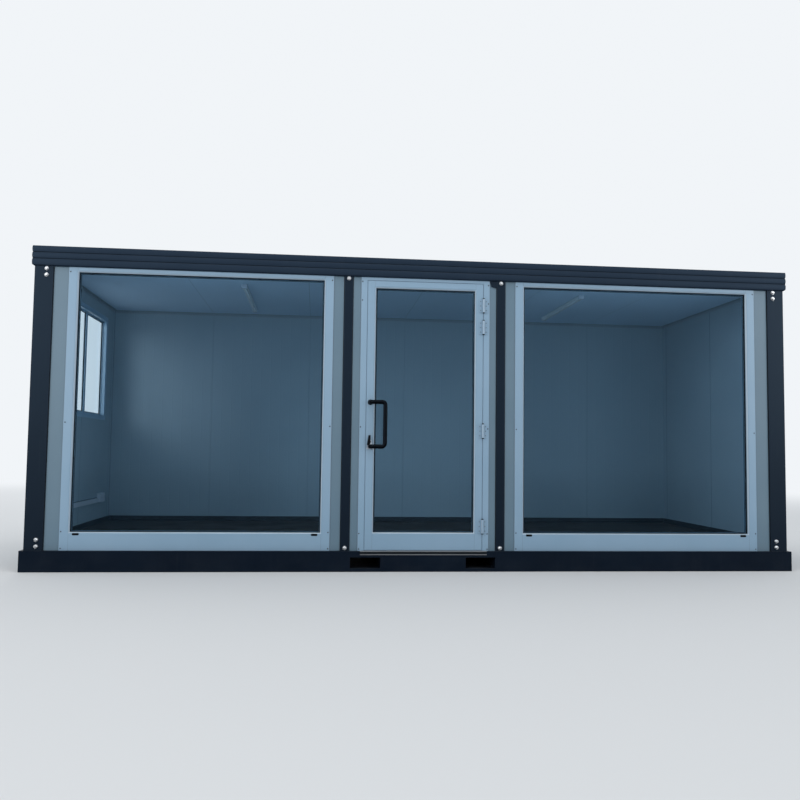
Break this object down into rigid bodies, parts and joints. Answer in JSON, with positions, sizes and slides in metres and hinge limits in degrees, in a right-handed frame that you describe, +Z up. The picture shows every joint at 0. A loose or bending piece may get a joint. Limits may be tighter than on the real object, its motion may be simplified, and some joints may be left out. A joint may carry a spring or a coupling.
{
  "type": "portable site cabin",
  "caption": "Flat-roofed portable cabin with a glazed front, central glazed door, ribbed eaves fascia, end window and steel base with fork pockets.",
  "frame": {"origin": "middle of the base's underside, on the ground", "axes": "+X along the glazed front to the right as seen from outside, +Y from the front to the back, +Z up"},
  "size_m": [6.06, 2.4105, 2.462],
  "materials": {
    "anthracite_steel": "satin",
    "panel_grey": "satin",
    "white_frame": "satin",
    "glass": "gloss",
    "zinc_steel": "satin",
    "floor_board": "satin",
    "joist_steel": "matte",
    "black_bar": "satin",
    "dark_trim": "matte",
    "white_plastic": "satin",
    "threshold_alu": "satin"
  },
  "bodies": {
    "cabin": {"back_panel_1": "panel_grey", "back_panel_2": "panel_grey", "back_panel_3": "panel_grey", "back_panel_4": "panel_grey", "back_panel_5": "panel_grey", "back_panel_6": "panel_grey", "base_back_rail": "anthracite_steel", "base_front_rail": "anthracite_steel", "base_left_rail": "anthracite_steel", "base_right_rail": "anthracite_steel", "cable_trunking": "white_plastic", "ceiling_lights": "white_plastic", "cornice": "dark_trim", "door_frame": "white_frame", "door_threshold": "threshold_alu", "fascia_back": "anthracite_steel", "fascia_front": "anthracite_steel", "fascia_left": "anthracite_steel", "fascia_right": "anthracite_steel", "floor_joists": "joist_steel", "floor_panel": "floor_board", "fork_tubes": "joist_steel", "front_infill_strips": "panel_grey", "hinge_jamb_halves": "white_frame", "left_end_panel_back": "panel_grey", "left_end_panel_front": "panel_grey", "post_back_left": "anthracite_steel", "post_back_right": "anthracite_steel", "post_door_left": "anthracite_steel", "post_door_right": "anthracite_steel", "post_front_left": "anthracite_steel", "post_front_right": "anthracite_steel", "post_gusset": "anthracite_steel", "right_end_panel_back": "panel_grey", "right_end_panel_front": "panel_grey", "roof_panel": "panel_grey", "roof_sheet": "zinc_steel", "side_window_beads": "white_frame", "side_window_frame": "white_frame", "side_window_glass": "glass", "skirting": "dark_trim", "window_beads": "white_frame", "window_frame_left": "white_frame", "window_frame_right": "white_frame", "window_glass_left": "glass", "window_glass_right": "glass"},
    "door": {"door_leaf": "white_frame", "door_bead": "white_frame", "door_glass": "glass", "door_handle": "black_bar", "door_lock": "threshold_alu", "hinge_leaf_halves": "white_frame"}
  },
  "joints": [
    {"name": "door_hinge", "type": "hinge", "parent": "cabin", "child": "door", "pos_m": [0.469, -1.158, 1.2], "axis": [0, 0, 1], "range_deg": [0, 110]}
  ]
}
